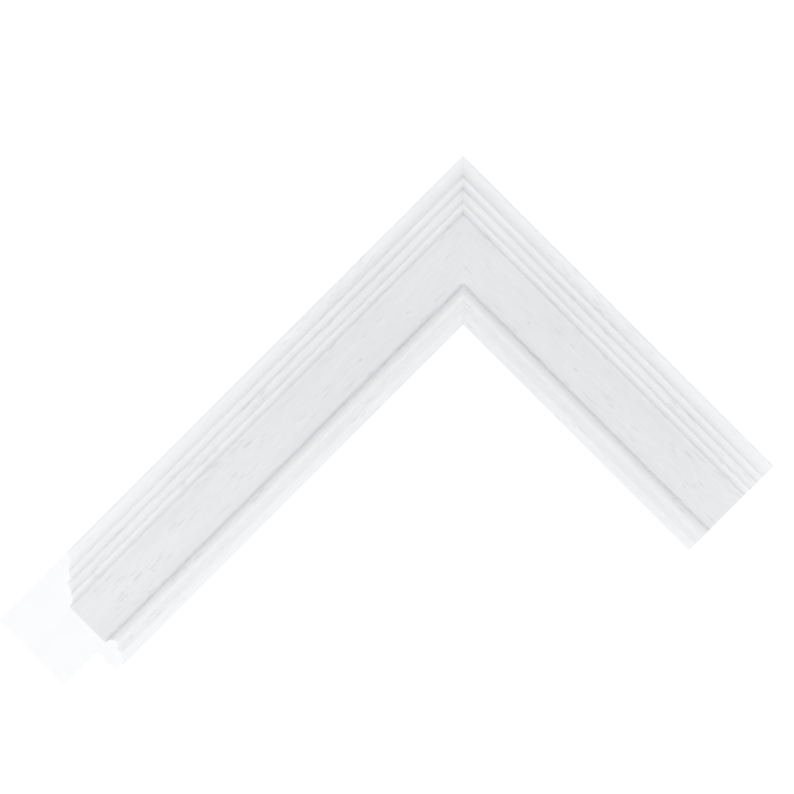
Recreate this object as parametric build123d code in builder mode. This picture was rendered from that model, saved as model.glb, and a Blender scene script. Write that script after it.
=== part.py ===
from build123d import *
import os

# A mitred corner of picture frame moulding, lying on its back. A long rail and a short rail are
# glued on a 45 degree mitre and pinned by two V-shaped nails driven in from behind.
# The origin is the outer corner of the back. The long rail runs along +X, the short rail along +Y,
# and both have their face up. Millimetres.

# Rails
long_rail_length = 165.0  # along the outer back edge, from the corner to the cut end
short_rail_length = 110.0
section_lean = 45.0  # degrees that the long rail's end leans back, so its section shows from the front

# Section of the moulding
moulding_width = 30.0  # from the outer edge to the sight edge
moulding_height = 25.0  # from the back to the top of the rim
back_round = 0.5  # along both edges of the back

# Rebate that holds the glass and the picture, behind a lip at the sight edge
rebate_width = 7.0
lip_thickness = 2.7

# Rim along the outer edge, the highest part of the face
rim_width = 3.7
rim_drop = 3.4
rim_round = 0.35
rim_crown = 0.7  # how far the curve stands out of the straight line between its ends

# Reeds that step down from the rim to the flat panel, from the outside in
reed_widths = (2.05, 2.45, 2.05)
reed_drops = (2.35, 1.35, 2.4)
reed_walls = (0.75, 0.3, 0.6)  # the upright foot of each reed
reed_crown = 0.43

# Quirk, the sharp little groove at the foot of the rim, of each reed and of the bead
quirk_width = 0.15
quirk_depth = 0.15

# Bead on the inner edge of the panel: it rises to a crest and turns down over a nose to a narrow fillet
bead_width = 2.4  # from its foot to the crest
bead_rise = 2.2
bead_crown = 0.7
nose_width = 1.1
nose_drop = 1.1
nose_crown = 0.15
nose_cove = 0.5  # hollow at the nose's foot
fillet_width = 1.45
fillet_crown = 0.05

# Slope that falls from the fillet to the sight edge
slope_width = 2.25
slope_drop = 1.9
slope_crown = 0.05
sight_round = 0.3

# V-nails, each with its bend on the mitre and a leg in each rail
nail_setbacks = {"outer": 6.0, "inner": 14.5}  # from both outer edges to the nail's bend
nail_leg = 5.0
nail_height = 10.0
nail_thickness = 0.5
nail_bend = 0.7  # radius at the bend
nail_curl = 0.7  # radius of the rolled end of each leg
nail_curl_turn = 75.0
nail_sunk = 0.3  # below the back of the rails

# Planes of the cuts
mitre = Plane(origin=(0, 0, 0), z_dir=(1, -1, 0))
section_cut = Plane(origin=(long_rail_length, 0, 0), z_dir=Vector(1, 0, 0).rotate(Axis.Y, -section_lean))


# The section lies with the outer edge on its left and the back at its foot.
with BuildSketch() as section:
    with BuildLine():
        Line((0, 0), (0, moulding_height - rim_round))
        JernArc((0, moulding_height - rim_round), (0, 1), rim_round, -90)
        reach = rim_width
        level = moulding_height - rim_drop
        SagittaArc((rim_round, moulding_height), (reach, level), rim_crown)
        foot = level
        for width, drop, wall in zip(reed_widths, reed_drops, reed_walls):
            Polyline((reach, foot), (reach, level - quirk_depth), (reach + quirk_width, level))
            foot = level - drop + wall
            SagittaArc((reach + quirk_width, level), (reach + width, foot), reed_crown)
            reach += width
            level -= drop
        slope_start = moulding_width - slope_width
        nose_end = slope_start - fillet_width
        crest = nose_end - nose_width
        bead_start = crest - bead_width
        crest_level = level + bead_rise
        fillet_level = crest_level - nose_drop
        sight_top = fillet_level - slope_drop
        rebate_seat = sight_top - lip_thickness
        rebate_wall = moulding_width - rebate_width
        Polyline(
            (reach, foot),
            (reach, level - quirk_depth),
            (reach + quirk_width, level),
            (bead_start - quirk_width, level),
            (bead_start, level - quirk_depth),
            (bead_start, level),
        )
        SagittaArc((bead_start, level), (crest, crest_level), bead_crown)
        SagittaArc((crest, crest_level), (nose_end, fillet_level), nose_crown)
        SagittaArc((nose_end, fillet_level), (slope_start, fillet_level), fillet_crown)
        SagittaArc((slope_start, fillet_level), (moulding_width, sight_top), slope_crown)
        Polyline(
            (moulding_width, sight_top),
            (moulding_width, rebate_seat),
            (rebate_wall, rebate_seat),
            (rebate_wall, 0),
            (0, 0),
        )
    make_face()
    fillet(section.vertices().group_by(Axis.X)[-1], sight_round)
    fillet(section.vertices().group_by(Axis.Y)[0], back_round)
    fillet(section.vertices().sort_by_distance((nose_end, fillet_level))[0], nose_cove)


def nail_outline(setback):
    """A V-nail seen along its height: two legs with rolled ends, bent on the mitre."""
    with BuildSketch() as outline:
        with BuildLine():
            leg_end = setback + nail_leg - nail_curl
            JernArc((setback + nail_bend, setback), (-1, 0), nail_bend, -45)
            Line((setback + nail_bend, setback), (leg_end, setback))
            JernArc((leg_end, setback), (1, 0), nail_curl, -nail_curl_turn)
            mirror(about=mitre)
        trace(line_width=nail_thickness)
    return outline.sketch


nail_outlines = {f"v_nail_{place}": nail_outline(setback) for place, setback in nail_setbacks.items()}

with BuildPart() as long_rail:
    with BuildSketch(Plane.YZ):
        add(section.sketch)
    extrude(amount=long_rail_length)
    split(bisect_by=mitre, keep=Keep.TOP)
    split(bisect_by=section_cut, keep=Keep.BOTTOM)
    with BuildSketch():
        add(nail_outlines.values())
    extrude(amount=nail_sunk + nail_height, mode=Mode.SUBTRACT)

with BuildPart() as short_rail:
    with BuildSketch(Plane.XZ):
        add(section.sketch)
    extrude(amount=-short_rail_length)
    split(bisect_by=mitre, keep=Keep.BOTTOM)
    with BuildSketch():
        add(nail_outlines.values())
    extrude(amount=nail_sunk + nail_height, mode=Mode.SUBTRACT)

pieces = {"long_rail": long_rail.part, "short_rail": short_rail.part}
for name, outline in nail_outlines.items():
    with BuildPart() as v_nail:
        with BuildSketch(Plane.XY.offset(nail_sunk)):
            add(outline)
        extrude(amount=nail_height)
    pieces[name] = v_nail.part

os.makedirs("parts", exist_ok=True)
for name, piece in pieces.items():
    piece.label = name
    export_step(piece, f"parts/{name}.step")
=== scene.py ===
"""White picture frame moulding, mitred into a corner, seen from straight above its face.

The two rails of the CAD model are dressed in uneven white paint over open grain, and its two nails in
steel. The origin is the outer corner of the back. The long rail runs along +X, the short rail along +Y, and
both have their face up. Lengths are in mm unless a comment says otherwise.
"""
import math
from types import SimpleNamespace
import bmesh
import bpy
import numpy as np
from mathutils import Matrix, Vector


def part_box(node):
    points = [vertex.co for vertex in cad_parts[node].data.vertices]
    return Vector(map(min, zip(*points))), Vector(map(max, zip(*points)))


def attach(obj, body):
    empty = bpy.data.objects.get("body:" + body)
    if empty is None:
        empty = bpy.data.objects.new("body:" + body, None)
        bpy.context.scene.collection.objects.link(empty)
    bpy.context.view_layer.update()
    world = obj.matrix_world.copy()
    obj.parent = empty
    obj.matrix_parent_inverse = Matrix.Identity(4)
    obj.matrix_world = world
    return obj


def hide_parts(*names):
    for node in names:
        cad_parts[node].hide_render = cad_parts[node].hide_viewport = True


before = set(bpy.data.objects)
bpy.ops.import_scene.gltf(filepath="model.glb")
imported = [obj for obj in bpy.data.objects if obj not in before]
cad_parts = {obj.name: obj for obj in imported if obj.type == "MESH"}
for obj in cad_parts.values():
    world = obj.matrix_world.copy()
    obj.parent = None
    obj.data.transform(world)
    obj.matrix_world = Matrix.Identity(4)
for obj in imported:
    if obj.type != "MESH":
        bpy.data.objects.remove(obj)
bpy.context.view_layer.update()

MM = 0.001  # in metres, the unit of meshes and nodes
RAILS = ("long_rail", "short_rail")
NAILS = ("v_nail_outer", "v_nail_inner")

# The rails' sizes, read from the frame
long_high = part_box("long_rail")[1]
short_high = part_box("short_rail")[1]
WIDTH = long_high.y / MM
HEIGHT = long_high.z / MM
RAIL_LENGTH = {"long_rail": long_high.x / MM, "short_rail": short_high.y / MM}
END_LEAN = {"long_rail": 1.0, "short_rail": 0.0}  # how far the end leans back for each mm of height

# The section's driving sizes, the same as in the CAD model
BACK_ROUND = 0.5
REBATE_WIDTH = 7.0
LIP_THICKNESS = 2.7
RIM_WIDTH, RIM_DROP, RIM_ROUND, RIM_CROWN = 3.7, 3.4, 0.35, 0.7
REED_WIDTHS = (2.05, 2.45, 2.05)
REED_DROPS = (2.35, 1.35, 2.4)
REED_WALLS = (0.75, 0.3, 0.6)
REED_CROWN = 0.43
QUIRK_WIDTH, QUIRK_DEPTH = 0.15, 0.15
BEAD_WIDTH, BEAD_RISE, BEAD_CROWN = 2.4, 2.2, 0.7
NOSE_WIDTH, NOSE_DROP, NOSE_CROWN, NOSE_COVE = 1.1, 1.1, 0.15, 0.5
FILLET_WIDTH, FILLET_CROWN = 1.45, 0.05
SLOPE_WIDTH, SLOPE_DROP, SLOPE_CROWN = 2.25, 1.9, 0.05
SIGHT_ROUND = 0.3

# The mesh of a rail. Its columns run along the rail and its rows across it.
FINE_STEP = 0.02  # between the points that the outline is drawn with
COLUMNS = 300
FACE_STEP = 0.17  # between columns on the face, before they are spread to that number
PLAIN_STEP = 2.5  # and elsewhere
TURN_STEP = math.radians(20)  # how far the section turns for each extra column
ROW_STEP = 0.52
MITRE_GAP = 0.002
SHARP_ANGLE = math.radians(40)
PAINTED, CUT_END, PRIMED = 0, 1, 2  # the numbers of the rail's materials
PAINTED_SIDE = 0.3  # what lies nearer the outer edge than this is painted, also behind the face

# The film of paint
PAINT_SOFTENING = 0.045  # how far it rounds each corner of the section
END_ROUND = 0.06  # and the edge round a cut end
FILM_ROOM = 0.04  # how far the face lies inside the solid, so that no swelling of the film stands out of it
QUIRK_FILL, FILL_SPREAD = 0.05, 0.015  # how far it fills up a quirk, and the most that this varies by

# Its unevenness. Each kind has a size and layers of smooth noise, and each layer has the size of its cells
# along the rail and around the section, and a weight.
WAVE, WAVE_LAYERS = 0.05, ((14, 3.2, 1), (6, 2, 0.35))
SWELL, SWELL_LAYERS = 0.035, ((14, 2.5, 1), (5, 0.9, 0.5))
GRAIN, GRAIN_LAYERS = 0.01, ((12, 0.45, 1), (5, 0.3, 1))
FILL_LAYERS = ((9, 2.5, 1),)
CALM = ((10.5, 0.45), (12.5, 1.0))  # each place across, and how much of the wave, swell and grain is there
MITRE_HOLD, EDGE_HOLD = 4.0, 2.0  # how far from the mitre and the face's edges wave and swell are held back

# The pattern of the unevenness, and how far into it each rail starts
PATTERN_SEED = 11
PATTERN_LENGTH, PATTERN_REACH = 175.0, 130.0  # along the rail and around the section
PATTERN_START = {"long_rail": 3.6, "short_rail": 0.0}
CELLS_BEFORE, CELLS_SPARE = 3, 8  # spare cells of noise before the pattern's start, and in all

# Pores and dents. The marks are those that stand out in the photograph, each with its places along the
# pattern and across the moulding, half its length and width, and its strength. The faint ones lie in
# random groups.
PORE_DEPTH = 0.04
MARKS = (
    (41.2, 18.0, 0.6, 0.28, 0.9), (57.9, 18.0, 0.7, 0.28, 0.9), (93.0, 13.0, 1.7, 0.25, 0.9),
    (88.4, 14.3, 1.1, 0.22, 0.6), (89.6, 15.0, 1.0, 0.22, 0.6), (90.8, 15.6, 0.8, 0.2, 0.5),
    (100.5, 16.0, 1.5, 0.25, 0.6), (64.9, 20.7, 3.6, 0.22, 0.5), (70.2, 18.2, 1.1, 0.25, 0.5),
    (78.5, 12.5, 4.6, 0.2, 0.35), (97.8, 19.5, 1.2, 0.22, 0.45), (108.3, 20.5, 2.6, 0.22, 0.45),
    (86.0, 5.95, 2.8, 0.3, 0.45), (60.9, 10.6, 1.6, 0.3, 0.7), (120.5, 14.2, 2.2, 0.22, 0.5),
    (129.0, 17.6, 1.4, 0.22, 0.5), (24.0, 15.2, 1.6, 0.2, 0.4), (33.0, 20.9, 2.4, 0.22, 0.45))
FAINT_GROUPS, FAINT_IN_GROUP = 62, 6
FAINT_SPREAD = (4.0, 0.8)  # along and across
FAINT_HALF_LENGTHS, FAINT_HALF_WIDTH, FAINT_STRENGTHS = (0.7, 2.0), 0.19, (0.15, 0.65)

# Painted light and shade across the moulding and along it: each place, and the tone there. Across, it is a
# painted highlight along the outer edge and on the bead, and painted shade at the feet of the reeds and of
# the nose. Along the rail the colour is darkest about 50 mm from the corner.
PAINTED_LIGHT_ACROSS = (
    (0.0, 1.06), (1.0, 1.055), (3.0, 1.0), (7.2, 1.005), (7.9, 0.99), (8.8, 1.01), (10.4, 0.98),
    (12.5, 0.985), (20.5, 0.992), (22.2, 1.018), (22.5, 0.987), (22.8, 1.045), (23.6, 1.06),
    (25.0, 1.05), (25.8, 0.98), (26.5, 1.03), (30.0, 1.015))
LENGTH_TONES = ((20.0, 1.003), (50.0, 0.989), (80.0, 1.003), (120.0, 1.029), (150.0, 1.033))
# And the painted shade beside the quirks of the rim and the reeds, with a painted highlight just beyond
# them: each distance, and the change
PAINTED_SHADE_AT_QUIRKS = (
    (-0.8, 0.0), (-0.45, -0.01), (-0.2, -0.022), (0.0, -0.015), (0.3, -0.008), (0.5, 0.027), (0.8, 0.024),
    (1.3, 0.0))
PAINTED_SHADE_OUTER_SIDE = 0.92  # painted shade on the outer side
LEAST_TONE = 0.9  # the mesh holds how far each tone is above this

# Colours. Where there are two, noise runs between them.
PAINT_COLOURS = ((0.782, 0.792, 0.807), (0.823, 0.833, 0.848))
MOTTLE_COLOURS = ((0.97, 0.97, 0.97), (1.0, 1.0, 1.0))
PORE_COLOUR = (0.61, 0.615, 0.625, 1)
END_COLOURS = {
    "long_rail": ((0.876, 0.881, 0.897), (0.858, 0.863, 0.879)),
    "short_rail": ((0.8, 0.8, 0.8), (0.72, 0.715, 0.7))}
PRIMER_COLOURS = ((0.77, 0.765, 0.75), (0.68, 0.66, 0.62))
STEEL_COLOURS = ((0.52, 0.53, 0.55), (0.6, 0.61, 0.63))
STEEL_GRAIN = (500, 500, 9000)  # per metre: finest in height, so that its lines run along the strip
FLOOR_COLOUR = (0.9, 0.9, 0.9, 1)
WHITE = (1, 1, 1, 1)

# What cuts the slot of a nail
WELD = 0.0005  # points of the nail that are nearer each other than this are made one
FOOT_HEIGHT = 0.01  # how high over the nail's lowest point its foot reaches
CUTTER_DEPTH = 1.0  # how far below the back the foot is carried on

# Photograph: 794 px wide, in which the moulding is WIDTH_PX wide and its outer corner is at CORNER_PX
FRAME_PX = 794
WIDTH_PX = 119.8
MM_PER_PX = WIDTH / WIDTH_PX
CORNER_PX = (463.1, 155.6)

# Camera
LENS, SENSOR = 1000.0, 36.0
TRUE_HEIGHT = 0.6  # share of the moulding's height at which the picture has the photograph's scale
CLIP_START, CLIP_END = 0.1, 20.0  # in metres

# Light: how bright the sky is over the picture's foot, head and sides. Each runs from a height to a height,
# with the horizon at 0 and the zenith at 1, and from a strength to a strength.
SKY_FOOT = (0.15, 0.75, 0.33, 1.3)
SKY_HEAD = (0.3, 0.65, 0.4, 0.02)
SKY_SIDES = (0.2, 0.4, 0.86, 1.46)
FLOOR_GLOW = 0.5
FLOOR_REACH, FLOOR_DROP = 4000.0, 0.05  # from the origin to each side, and below the back


def straight(start, end):
    """Points from start up to but not including end."""
    start, end = np.array(start, float), np.array(end, float)
    count = max(2, int(round(np.linalg.norm(end - start) / FINE_STEP)))
    t = np.arange(count)[:, None] / count
    return start + (end - start) * t


def bulge(start, end, sagitta):
    """Points on an arc that stands out to the left of the way from start to end, without the end."""
    start, end = np.array(start, float), np.array(end, float)
    chord = end - start
    length = np.linalg.norm(chord)
    along = chord / length
    left = np.array([-along[1], along[0]])
    radius = length ** 2 / (8 * sagitta) + sagitta / 2
    centre = (start + end) / 2 - left * (radius - sagitta)
    half = math.acos(1 - sagitta / radius)
    count = max(3, int(round(2 * half * radius / FINE_STEP)))
    angle = (-half + 2 * half * np.arange(count) / count)[:, None]
    return centre + radius * (left * np.cos(angle) + along * np.sin(angle))


def quarter(start, end):
    """Points on a quarter circle from start to end, on the left of the straight way."""
    radius = abs(end[0] - start[0])
    return bulge(start, end, radius * (1 - math.sqrt(0.5)))


def lines(*corners):
    """Points on the straight lines from corner to corner, up to but not including the last."""
    return np.vstack([straight(start, end) for start, end in zip(corners[:-1], corners[1:])])


def soften(points, width):
    """Rounds a closed line of evenly spaced points, as a film of paint does."""
    reach = int(4 * width / FINE_STEP)
    offsets = np.arange(-reach, reach + 1)
    weights = np.exp(-0.5 * (offsets * FINE_STEP / width) ** 2)
    weights /= weights.sum()
    return sum(w * np.roll(points, -o, axis=0) for o, w in zip(offsets, weights))


def section_outline():
    """The section's outline over the face and back behind it, which of it is on the face, and the quirks."""
    reach, level = RIM_WIDTH, HEIGHT - RIM_DROP
    quirks = []
    face = [quarter((0, HEIGHT - RIM_ROUND), (RIM_ROUND, HEIGHT)),
            bulge((RIM_ROUND, HEIGHT), (reach, level), RIM_CROWN)]
    foot = level
    for width, drop, wall in zip(REED_WIDTHS, REED_DROPS, REED_WALLS):
        quirks.append((reach, level - QUIRK_DEPTH))
        face.append(lines((reach, foot), quirks[-1], (reach + QUIRK_WIDTH, level)))
        foot = level - drop + wall
        face.append(bulge((reach + QUIRK_WIDTH, level), (reach + width, foot), REED_CROWN))
        reach, level = reach + width, level - drop
    slope_start = WIDTH - SLOPE_WIDTH
    nose_end = slope_start - FILLET_WIDTH
    crest = nose_end - NOSE_WIDTH
    bead_start = crest - BEAD_WIDTH
    crest_level = level + BEAD_RISE
    fillet_level = crest_level - NOSE_DROP
    sight_top = fillet_level - SLOPE_DROP
    seat = sight_top - LIP_THICKNESS
    wall = WIDTH - REBATE_WIDTH
    quirks += [(reach, level - QUIRK_DEPTH), (bead_start, level - QUIRK_DEPTH)]
    face += [lines((reach, foot), quirks[-2], (reach + QUIRK_WIDTH, level),
                   (bead_start - QUIRK_WIDTH, level), quirks[-1], (bead_start, level)),
             bulge((bead_start, level), (crest, crest_level), BEAD_CROWN),
             bulge((crest, crest_level), (nose_end, fillet_level), NOSE_CROWN),
             bulge((nose_end, fillet_level), (slope_start, fillet_level), FILLET_CROWN),
             bulge((slope_start, fillet_level), (WIDTH, sight_top), SLOPE_CROWN)]
    behind = [straight((WIDTH, sight_top), (WIDTH, seat + SIGHT_ROUND)),
              quarter((WIDTH, seat + SIGHT_ROUND), (WIDTH - SIGHT_ROUND, seat)),
              lines((WIDTH - SIGHT_ROUND, seat), (wall, seat), (wall, BACK_ROUND)),
              quarter((wall, BACK_ROUND), (wall - BACK_ROUND, 0)),
              straight((wall - BACK_ROUND, 0), (BACK_ROUND, 0)),
              quarter((BACK_ROUND, 0), (0, BACK_ROUND)),
              straight((0, BACK_ROUND), (0, HEIGHT - RIM_ROUND))]
    face, behind = np.vstack(face), np.vstack(behind)
    points = np.vstack([face, behind])
    on_face = np.arange(len(points)) < len(face)

    # The hollow at the nose's foot is a softer outline there alone.
    cove = soften(points, NOSE_COVE / 3)
    near = np.exp(-((points - (nose_end, fillet_level)) ** 2).sum(axis=1) / NOSE_COVE ** 2)[:, None]
    return points * (1 - near) + cove * near, on_face, np.array(quirks)


def section_columns():
    """The section as the mesh has it, with one entry to a column, apart from the places of the quirks."""
    points, on_face, quirks = section_outline()
    points = soften(points, PAINT_SOFTENING)
    steps = np.roll(points, -1, axis=0) - points
    lengths = np.linalg.norm(steps, axis=1)
    heading = np.unwrap(np.arctan2(steps[:, 1], steps[:, 0]))
    turn = np.abs(heading - np.roll(heading, 1))
    turn[0] = 0

    # Columns are spread evenly over what each step of the outline asks for.
    asked = lengths * np.where(on_face, 1 / FACE_STEP, 1 / PLAIN_STEP) + turn / TURN_STEP
    total = np.concatenate([[0], np.cumsum(asked)])
    wanted = np.arange(COLUMNS) * total[-1] / COLUMNS
    index = np.interp(wanted, total, np.arange(len(total)))
    closed = np.vstack([points, points[:1]])
    where = np.arange(len(closed))
    place = np.stack([np.interp(index, where, closed[:, k]) for k in (0, 1)], axis=1)
    direction = np.stack([np.interp(index, where[:-1], steps[:, k]) for k in (0, 1)], axis=1)
    direction /= np.linalg.norm(direction, axis=1)[:, None]
    gap = np.linalg.norm(place[:, None] - quirks[None], axis=2).min(axis=1)
    return SimpleNamespace(
        across=place[:, 0],
        height=place[:, 1],
        normal=np.stack([-direction[:, 1], direction[:, 0]]),
        around=np.interp(index, where, np.concatenate([[0], np.cumsum(lengths)])),
        on_face=on_face[np.minimum(index.astype(int), len(on_face) - 1)],
        shelter=np.exp(-(gap / (2 * QUIRK_WIDTH)) ** 2),
        reed_quirks=quirks[:-1, 0])


class Pattern:
    """The unevenness that both rails share, as the photograph shows: they meet like a mirror image."""

    def __init__(self):
        self.rng = np.random.default_rng(PATTERN_SEED)

    def noise(self, along, around, along_cell, around_cell):
        """Smooth noise between -1 and 1, with cells of the given sizes."""
        along_cells = int(PATTERN_LENGTH / along_cell) + CELLS_SPARE
        around_cells = int(PATTERN_REACH / around_cell) + CELLS_SPARE
        grid = self.rng.uniform(-1, 1, (along_cells, around_cells))
        a, c = along / along_cell + CELLS_BEFORE, around / around_cell + CELLS_BEFORE
        ai, ci = a.astype(int), c.astype(int)
        fa, fc = a - ai, c - ci
        fa, fc = fa * fa * (3 - 2 * fa), fc * fc * (3 - 2 * fc)
        near = grid[ai, ci] * (1 - fc) + grid[ai, ci + 1] * fc
        far = grid[ai + 1, ci] * (1 - fc) + grid[ai + 1, ci + 1] * fc
        return near * (1 - fa) + far * fa

    def layered(self, along, around, layers):
        """The sum of several layers of noise."""
        return sum(weight * self.noise(along, around, *cell) for *cell, weight in layers)

    def pores(self, along, across):
        """How deep each point lies in a pore or a dent, from 0 to 1."""
        marks = list(MARKS)
        for middle in self.rng.uniform((0, 0), (PATTERN_LENGTH, WIDTH), (FAINT_GROUPS, 2)):
            for spot in middle + self.rng.normal(0, FAINT_SPREAD, (FAINT_IN_GROUP, 2)):
                half_length = self.rng.uniform(*FAINT_HALF_LENGTHS)
                marks.append((*spot, half_length, FAINT_HALF_WIDTH, self.rng.uniform(*FAINT_STRENGTHS)))
        depth = np.zeros_like(along)
        for spot, side, half_length, half_width, strength in marks:
            reach = ((along - spot) / half_length) ** 2 + ((across - side) / half_width) ** 2
            depth = np.maximum(depth, strength * np.clip(1 - reach, 0, 1))
        return depth


def graph(x, points):
    """The value at x on a graph of straight lines through the points."""
    return np.interp(x, *zip(*points))


def paint_relief(section, place, from_mitre, from_end):
    """How far the paint moves each point across, outwards and up, and how deep it lies in a pore."""
    across, around, on_face, shelter = section.across, section.around, section.on_face, section.shelter
    pattern = Pattern()
    hold = np.clip(from_mitre / MITRE_HOLD, 0, 1)
    edge = np.clip(across / EDGE_HOLD, 0, 1) * np.clip((WIDTH - across) / EDGE_HOLD, 0, 1)
    calm = graph(across, CALM)
    shift = WAVE * calm * pattern.layered(place, around, WAVE_LAYERS) * hold * edge * on_face
    swell = SWELL * calm * edge * pattern.layered(place, around, SWELL_LAYERS) * hold
    grain = GRAIN * calm * pattern.layered(place, around, GRAIN_LAYERS)
    fill = shelter * (QUIRK_FILL + FILL_SPREAD * pattern.layered(place, around, FILL_LAYERS)) * on_face
    pore = pattern.pores(place, across) * on_face
    lift = (swell + grain - PORE_DEPTH * pore - FILM_ROOM) * on_face * (1 - shelter)

    # Small round along the cut end's edge
    into_round = np.clip(END_ROUND - from_end, 0, END_ROUND)
    lift = lift - (END_ROUND - np.sqrt(END_ROUND ** 2 - into_round ** 2)) * (1 - shelter)
    return shift, lift, fill, pore


def painted_light_and_shade(section, place):
    """The painted light and shade at each point, above the least tone."""
    tone = graph(section.across, PAINTED_LIGHT_ACROSS) * graph(place, LENGTH_TONES)
    for quirk in section.reed_quirks:
        tone = tone + graph(section.across - quirk, PAINTED_SHADE_AT_QUIRKS)
    return np.where(section.on_face, tone, PAINTED_SHADE_OUTER_SIDE) - LEAST_TONE


def rail_mesh(name):
    """One rail as a closed mesh, with the reeds' slight waver, the grain and the pores as real relief."""
    section = section_columns()
    length, lean = RAIL_LENGTH[name], END_LEAN[name]
    rows = round(length / ROW_STEP)
    t = np.linspace(0, 1, rows + 1)[:, None]
    start = section.across + MITRE_GAP
    end = length - lean * section.height
    along = start + t * (end - start)
    place = along + PATTERN_START[name]
    shift, lift, fill, pore = paint_relief(section, place, along - start, end - along)

    # s, u and h are the places along the rail, across it and in height once the paint is on.
    u = np.clip(section.across + section.normal[0] * lift + shift, 0, WIDTH)
    h = np.clip(section.height + section.normal[1] * lift + fill, 0, HEIGHT)
    begin = u + MITRE_GAP
    s = begin + t * (length - lean * h - begin)
    points = np.stack([s, u, h] if name == "long_rail" else [u, s, h], axis=-1).reshape(-1, 3) * MM

    row = np.arange(rows)[:, None] * COLUMNS
    col = np.arange(COLUMNS)[None, :]
    following = (col + 1) % COLUMNS
    quads = np.stack([row + col, row + following, row + COLUMNS + following, row + COLUMNS + col], axis=-1)
    quads = quads.reshape(-1, 4)
    first_cap = np.arange(COLUMNS)[::-1]
    last_cap = rows * COLUMNS + np.arange(COLUMNS)
    if name == "long_rail":
        quads, first_cap, last_cap = quads[:, ::-1], first_cap[::-1], last_cap[::-1]
    mesh = bpy.data.meshes.new(name + "_painted")
    mesh.from_pydata(points.tolist(), [], quads.tolist() + [first_cap.tolist(), last_cap.tolist()])

    behind = ~section.on_face & (section.across > PAINTED_SIDE)
    index = np.where(np.broadcast_to(behind, (rows, COLUMNS)), PRIMED, PAINTED).ravel()
    index = np.concatenate([index, [CUT_END, CUT_END]]).astype(np.int32)
    mesh.polygons.foreach_set("material_index", index)
    # The mesh carries the pores and the painted light and shade.
    for kind, values in (("pore", pore), ("painted_shading", painted_light_and_shade(section, place))):
        attribute = mesh.attributes.new(kind, "FLOAT", "POINT")
        attribute.data.foreach_set("value", values.ravel().astype(np.float32))
    mesh.set_sharp_from_angle(angle=SHARP_ANGLE)
    mesh.polygons.foreach_set("use_smooth", index != CUT_END)
    return mesh


class Nodes:
    """A short way to add shader nodes and link them."""

    def __init__(self, owner):
        owner.use_nodes = True
        self.tree = owner.node_tree
        self.tree.nodes.clear()

    def add(self, kind, inputs=None, **settings):
        """A new node, whose inputs are either linked to a socket or set to a value."""
        node = self.tree.nodes.new(kind)
        for key, value in settings.items():
            setattr(node, key, value)
        for key, value in (inputs or {}).items():
            if isinstance(value, bpy.types.NodeSocket):
                self.tree.links.new(value, node.inputs[key])
            else:
                node.inputs[key].default_value = value
        return node

    def maths(self, operation, first, second, **settings):
        """The result of an operation on two numbers."""
        return self.add("ShaderNodeMath", {0: first, 1: second}, operation=operation, **settings).outputs[0]

    def mix(self, factor, first, second, blend="MIX"):
        """The colour between two, by the factor, or their product for the blend MULTIPLY at factor 1."""
        return self.add("ShaderNodeMix", {
            "Factor": factor, "A": first, "B": second}, data_type="RGBA", blend_type=blend).outputs["Result"]


def grain_coordinates(nodes, name, along, across):
    """Coordinates stretched along the rail, whose features are so many mm long and wide."""
    where = nodes.add("ShaderNodeTexCoord").outputs["Object"]
    scale = [1 / (across * MM)] * 3
    scale[0 if name == "long_rail" else 1] = 1 / (along * MM)
    return nodes.add("ShaderNodeMapping", {"Vector": where, "Scale": scale}).outputs["Vector"]


def two_tones(nodes, factor, colours):
    """A colour between the two, by the factor."""
    first, second = colours
    return nodes.mix(factor, (*first, 1), (*second, 1))


def noise_between(nodes, where, low, high, detail=2.0):
    """Noise spread so that it runs from 0 at the low value to 1 at the high one."""
    noise = nodes.add("ShaderNodeTexNoise", {
        "Vector": where, "Scale": 1.0, "Detail": detail, "Roughness": 0.55}).outputs["Fac"]
    return nodes.add("ShaderNodeMapRange", {"Value": noise, "From Min": low, "From Max": high}).outputs[0]


def finish_material(nodes, colour, roughness, relief, bump_height, **more):
    """A surface of this colour and roughness, with slight bumps that follow the relief."""
    bump = nodes.add("ShaderNodeBump", {"Height": relief, "Strength": 0.5, "Distance": bump_height * MM})
    shader = nodes.add("ShaderNodeBsdfPrincipled", {
        "Base Color": colour, "Roughness": roughness, "Normal": bump.outputs["Normal"], **more})
    nodes.add("ShaderNodeOutputMaterial", {"Surface": shader.outputs[0]})


def paint_material(name):
    """Satin white paint over open grain, with fine streaks along the rail, darker pores, and light and shade
    painted into its colour.
    """
    material = bpy.data.materials.new("paint_" + name)
    nodes = Nodes(material)
    fine = grain_coordinates(nodes, name, along=3.5, across=0.45)
    streak = noise_between(nodes, fine, low=0.3, high=0.7, detail=3.0)
    broad = grain_coordinates(nodes, name, along=25, across=6)
    mottle = noise_between(nodes, broad, low=0.3, high=0.7)
    # Light and shade painted into the colour, carried by the mesh
    painted_shading = nodes.add("ShaderNodeAttribute", attribute_name="painted_shading").outputs["Fac"]
    tone = nodes.maths("ADD", painted_shading, LEAST_TONE)
    paint = nodes.mix(1.0, two_tones(nodes, streak, PAINT_COLOURS), tone, "MULTIPLY")
    paint = nodes.mix(1.0, paint, two_tones(nodes, mottle, MOTTLE_COLOURS), "MULTIPLY")
    pore = nodes.add("ShaderNodeAttribute", attribute_name="pore").outputs["Fac"]
    colour = nodes.mix(pore, paint, PORE_COLOUR)
    rough = nodes.add("ShaderNodeMapRange", {"Value": streak, "To Min": 0.38, "To Max": 0.5}).outputs[0]
    finish_material(nodes, colour, rough, streak, bump_height=0.015)
    return material


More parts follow.
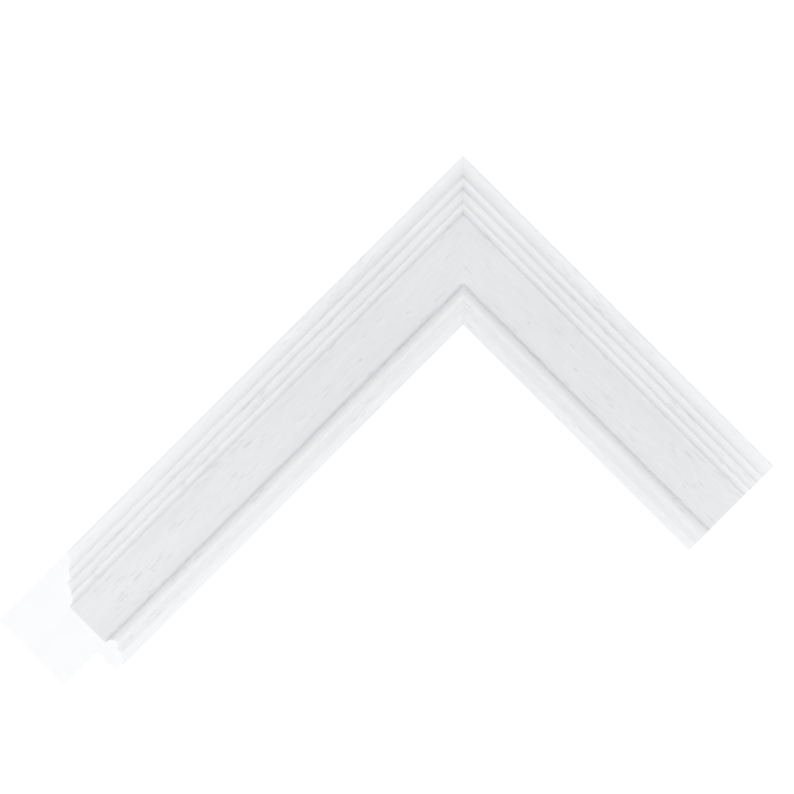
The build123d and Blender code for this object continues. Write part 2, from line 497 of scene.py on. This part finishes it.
def end_material(name):
    """White end of the cut, with the growth rings showing faintly through it."""
    material = bpy.data.materials.new("cut_end_" + name)
    nodes = Nodes(material)
    where = nodes.add("ShaderNodeTexCoord").outputs["Object"]
    rings = nodes.add("ShaderNodeTexWave", {
        "Vector": where, "Scale": 55.0, "Distortion": 3.0, "Detail": 2.0, "Detail Scale": 1.5},
        bands_direction="DIAGONAL").outputs["Fac"]
    fibre = noise_between(nodes, grain_coordinates(nodes, name, along=0.5, across=0.5), low=0.35, high=0.65)
    both = nodes.maths("MULTIPLY", rings, fibre)
    finish_material(nodes, two_tones(nodes, both, END_COLOURS[name]), 0.65, both, bump_height=0.02)
    return material


def primer_material(name):
    """Thin off-white primer on the back and in the rebate, with the wood's streaks under it."""
    material = bpy.data.materials.new("primer_" + name)
    nodes = Nodes(material)
    long_grain = grain_coordinates(nodes, name, along=30, across=0.8)
    streak = noise_between(nodes, long_grain, low=0.3, high=0.7, detail=4.0)
    speck = noise_between(nodes, grain_coordinates(nodes, name, along=2.0, across=0.3), low=0.55, high=0.75)
    thin = nodes.maths("ADD", streak, speck, use_clamp=True)
    finish_material(nodes, two_tones(nodes, thin, PRIMER_COLOURS), 0.7, thin, bump_height=0.03)
    return material


def steel_material():
    """Bright steel strip, with the fine lines of rolling along it."""
    material = bpy.data.materials.new("steel")
    nodes = Nodes(material)
    where = nodes.add("ShaderNodeTexCoord").outputs["Object"]
    where = nodes.add("ShaderNodeMapping", {"Vector": where, "Scale": STEEL_GRAIN}).outputs["Vector"]
    scratch = noise_between(nodes, where, low=0.3, high=0.7, detail=3.0)
    rough = nodes.add("ShaderNodeMapRange", {"Value": scratch, "To Min": 0.24, "To Max": 0.42}).outputs[0]
    colour = two_tones(nodes, scratch, STEEL_COLOURS)
    finish_material(nodes, colour, rough, scratch, bump_height=0.005, Metallic=1.0)
    return material


def add_object(name, data):
    """A new object in the scene."""
    thing = bpy.data.objects.new(name, data)
    bpy.context.scene.collection.objects.link(thing)
    return thing


def slot_cutter(name):
    """A nail's shape carried on below the back, which cuts its slot."""
    shape = bmesh.new()
    shape.from_mesh(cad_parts[name].data)
    bmesh.ops.remove_doubles(shape, verts=shape.verts, dist=WELD * MM)
    lowest = min(v.co.z for v in shape.verts)
    for vertex in shape.verts:
        if vertex.co.z < lowest + FOOT_HEIGHT * MM:
            vertex.co.z = -CUTTER_DEPTH * MM
    for face in shape.faces:
        face.material_index = PRIMED
    mesh = bpy.data.meshes.new("cutter")
    shape.to_mesh(mesh)
    shape.free()
    return add_object("cutter", mesh)


def build_rails():
    """Puts a painted rail in the place of each rail of the CAD model."""
    cutters = [slot_cutter(name) for name in NAILS]
    for name in RAILS:
        rail = add_object(name + "_painted", rail_mesh(name))
        for material in (paint_material(name), end_material(name), primer_material(name)):
            rail.data.materials.append(material)
        for cutter in cutters:
            slot = rail.modifiers.new("slot", "BOOLEAN")
            slot.operation, slot.solver, slot.object = "DIFFERENCE", "MANIFOLD", cutter
        whole = bpy.data.meshes.new_from_object(rail.evaluated_get(bpy.context.evaluated_depsgraph_get()))
        rail.modifiers.clear()
        rail.data = whole
        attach(rail, "root")
        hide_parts(name)
    for cutter in cutters:
        bpy.data.objects.remove(cutter)


def dress_nails():
    """Gives the nails of the CAD model their steel."""
    steel = steel_material()
    for name in NAILS:
        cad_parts[name].data.materials.clear()
        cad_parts[name].data.materials.append(steel)


def build_stage():
    """A white floor that glows a little, so that it comes out white in the picture."""
    mesh = bpy.data.meshes.new("floor")
    side, level = FLOOR_REACH * MM, -FLOOR_DROP * MM
    corners = [(-side, -side, level), (side, -side, level), (side, side, level), (-side, side, level)]
    mesh.from_pydata(corners, [], [(0, 1, 2, 3)])
    floor = add_object("floor", mesh)
    material = bpy.data.materials.new("floor")
    nodes = Nodes(material)
    shader = nodes.add("ShaderNodeBsdfPrincipled", {
        "Base Color": FLOOR_COLOUR, "Roughness": 0.9,
        "Emission Color": WHITE, "Emission Strength": FLOOR_GLOW})
    nodes.add("ShaderNodeOutputMaterial", {"Surface": shader.outputs[0]})
    mesh.materials.append(material)


def build_light():
    """A sky that is bright over the picture's left and right and dim over its top and bottom."""
    world = bpy.data.worlds.new("studio")
    bpy.context.scene.world = world
    nodes = Nodes(world)
    maths = nodes.maths
    direction = nodes.add("ShaderNodeTexCoord").outputs["Generated"]
    parts = nodes.add("ShaderNodeSeparateXYZ", {0: direction}).outputs
    height = parts["Z"]

    def fade(start, end, first, last):
        return nodes.add("ShaderNodeMapRange", {
            "Value": height, "From Min": start, "From Max": end, "To Min": first, "To Max": last}).outputs[0]

    # The share of a direction's sideways part that points to the picture's foot or head. Straight up has no
    # sideways part, so that is kept above zero.
    sideways = maths("MAXIMUM", maths("SUBTRACT", 1.0, maths("MULTIPLY", height, height)), 0.0001)
    to_foot = maths("MULTIPLY", maths("ADD", parts["X"], parts["Y"]), math.sqrt(0.5))
    share = maths("DIVIDE", maths("MULTIPLY", to_foot, to_foot), sideways)
    at_foot = maths("GREATER_THAN", to_foot, 0.0)
    foot, head, sides = fade(*SKY_FOOT), fade(*SKY_HEAD), fade(*SKY_SIDES)
    ends = maths("ADD", head, maths("MULTIPLY", at_foot, maths("SUBTRACT", foot, head)))
    strength = maths("ADD", sides, maths("MULTIPLY", share, maths("SUBTRACT", ends, sides)))
    background = nodes.add("ShaderNodeBackground", {"Color": WHITE, "Strength": strength})
    nodes.add("ShaderNodeOutputWorld", {"Surface": background.outputs[0]})


def build_camera():
    """Looks straight down, turned so that the long rail runs to the picture's lower left."""
    data = bpy.data.cameras.new("camera")
    data.sensor_width = SENSOR
    data.lens = LENS
    data.clip_start, data.clip_end = CLIP_START, CLIP_END
    camera = add_object("camera", data)
    diagonal = math.sqrt(0.5)
    right = Vector((-diagonal, diagonal, 0))
    up = Vector((-diagonal, -diagonal, 0))
    back = Vector((0, 0, 1))
    middle = FRAME_PX / 2
    corner = (right * (CORNER_PX[0] - middle) + up * (middle - CORNER_PX[1])) * MM_PER_PX * MM
    distance = FRAME_PX * MM_PER_PX * MM / (SENSOR / LENS)
    spot = -corner + back * (distance + HEIGHT * MM * TRUE_HEIGHT)
    camera.matrix_world = Matrix.Translation(spot) @ Matrix((right, up, back)).transposed().to_4x4()
    bpy.context.scene.camera = camera


build_rails()
dress_nails()
build_stage()
build_light()
build_camera()
bpy.context.scene.view_settings.view_transform = "Standard"
bpy.context.scene.cycles.use_denoising = True
